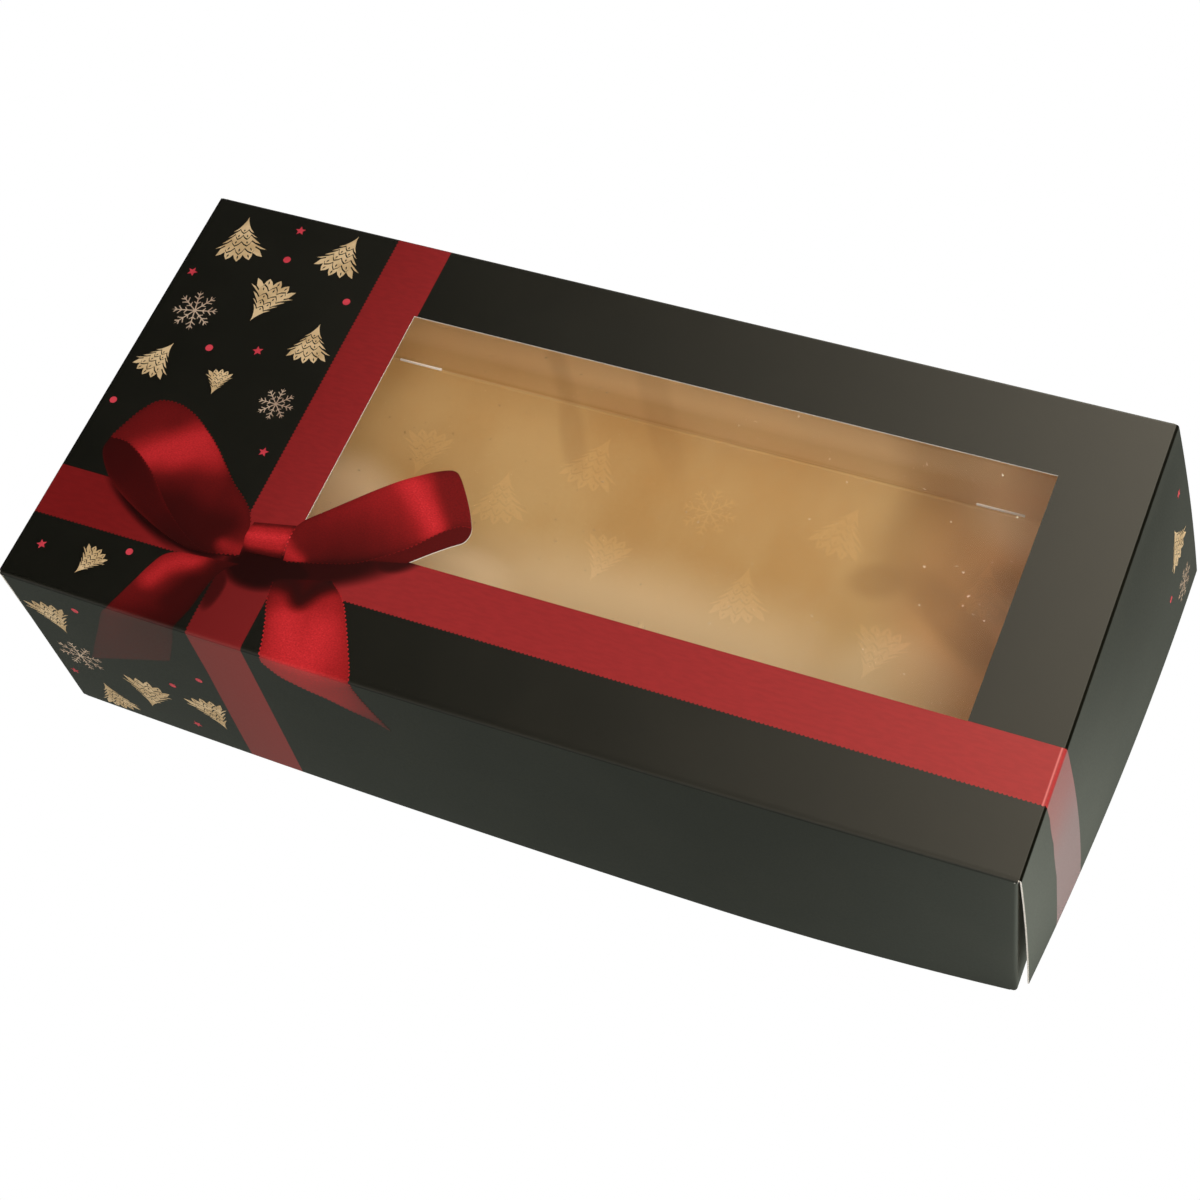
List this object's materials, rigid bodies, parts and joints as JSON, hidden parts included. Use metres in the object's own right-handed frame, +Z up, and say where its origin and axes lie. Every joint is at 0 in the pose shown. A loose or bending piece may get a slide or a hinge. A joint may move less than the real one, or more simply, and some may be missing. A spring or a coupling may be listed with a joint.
{
  "type": "stollen box",
  "caption": "Long folded cake carton with a hinged, windowed lid whose end flaps hang outside the tray and whose tuck flap closes inside the far wall.",
  "frame": {"origin": "centre of the base's underside", "axes": "+X along the box's length, +Y from the lid's hinge towards the side where the lid tucks in, +Z up"},
  "size_m": [0.345, 0.1667, 0.08],
  "materials": {
    "printed_board": "satin",
    "gold_board": "satin",
    "clear_film": "gloss"
  },
  "bodies": {
    "tray": {"base_panel": "gold_board", "base_front_fold": "printed_board", "base_back_fold": "printed_board", "base_left_fold": "printed_board", "base_right_fold": "printed_board", "front_wall": "printed_board", "front_left_ear_fold": "printed_board", "front_right_ear_fold": "printed_board", "front_left_ear": "printed_board", "front_right_ear": "printed_board", "left_end_wall": "gold_board", "right_end_wall": "gold_board", "back_outer_wall": "printed_board", "back_inner_wall": "gold_board", "back_rim_fold": "printed_board", "back_left_ear_fold": "gold_board", "back_right_ear_fold": "gold_board", "back_left_ear": "gold_board", "back_right_ear": "gold_board"},
    "lid": {"lid_hinge_fold": "printed_board", "lid_panel": "printed_board", "window_film": "clear_film", "tuck_flap_fold": "printed_board", "left_flap_fold": "printed_board", "right_flap_fold": "printed_board"},
    "tuck_flap": {"tuck_flap": "printed_board"},
    "left_end_flap": {"left_end_flap": "printed_board"},
    "right_end_flap": {"right_end_flap": "printed_board"}
  },
  "joints": [
    {"name": "lid_hinge", "type": "hinge", "parent": "tray", "child": "lid", "pos_m": [0, -0.081, 0.07975], "axis": [1, 0, 0], "range_deg": [0, 180]},
    {"name": "tuck_flap_hinge", "type": "hinge", "parent": "lid", "child": "tuck_flap", "pos_m": [0, 0.07525, 0.0795], "axis": [-1, 0, 0], "range_deg": [0, 80]},
    {"name": "left_end_flap_hinge", "type": "hinge", "parent": "lid", "child": "left_end_flap", "pos_m": [-0.16475, 0, 0.07975], "axis": [0, 1, 0], "range_deg": [-1, 88]},
    {"name": "right_end_flap_hinge", "type": "hinge", "parent": "lid", "child": "right_end_flap", "pos_m": [0.16475, 0, 0.07975], "axis": [0, -1, 0], "range_deg": [-1.5, 84]}
  ]
}
